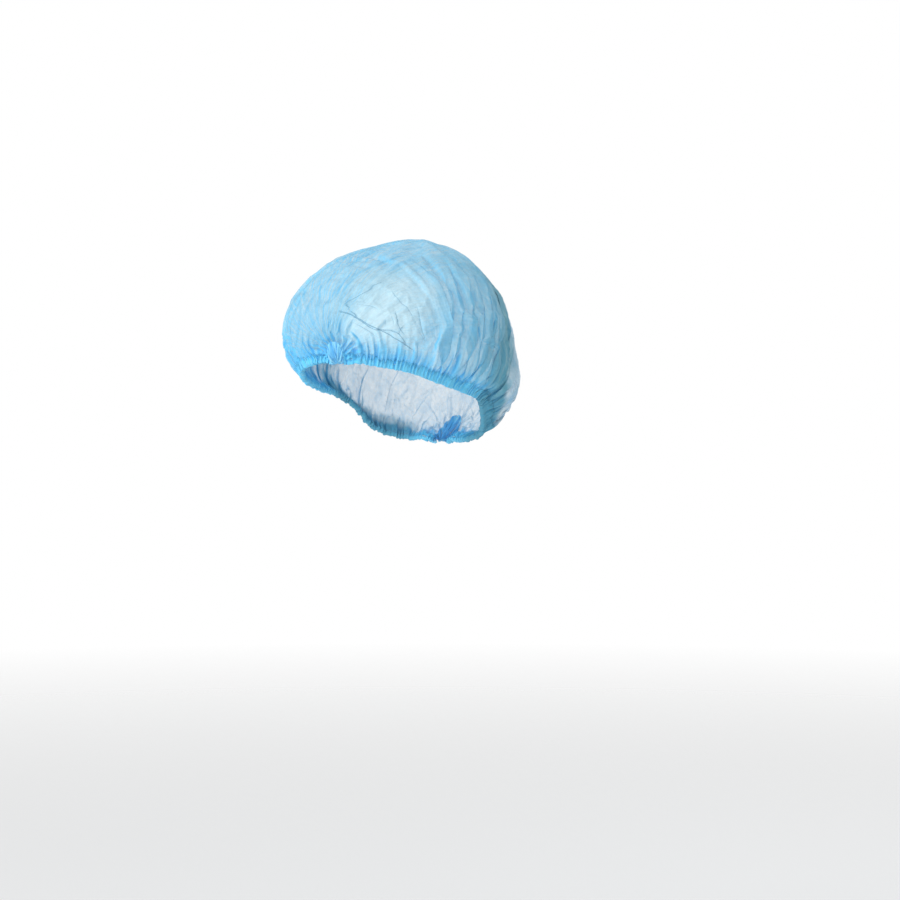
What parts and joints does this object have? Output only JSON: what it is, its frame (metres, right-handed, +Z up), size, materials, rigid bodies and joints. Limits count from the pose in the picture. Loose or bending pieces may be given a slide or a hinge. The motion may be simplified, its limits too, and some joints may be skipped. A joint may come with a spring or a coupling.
{
  "type": "disposable bouffant hairnet cap",
  "caption": "Bouffant cap of thin pleated non-woven cloth with a gathered elastic hem, in its worn shape, hollow and open below for the head",
  "frame": {"origin": "middle of the opening at the hem, where the cap sits on a head", "axes": "+Z up over the crown, -Y towards the wearer's brow, +X towards the wearer's left"},
  "size_m": [0.1916, 0.2363, 0.1823],
  "materials": {
    "cloth": "thin light blue non-woven polypropylene, matt with a faint sheen, see-through where single",
    "hem": "the same cloth doubled and gathered, deeper blue",
    "elastic": "white covered elastic",
    "weld": "cloth pinched and heat welded, dense and slightly glossy"
  },
  "bodies": {
    "root": {"crown": "cloth", "hem_left": "hem", "hem_right": "hem", "elastic_left": "elastic", "elastic_right": "elastic", "front_weld": "weld", "back_weld": "weld"}
  },
  "joints": []
}
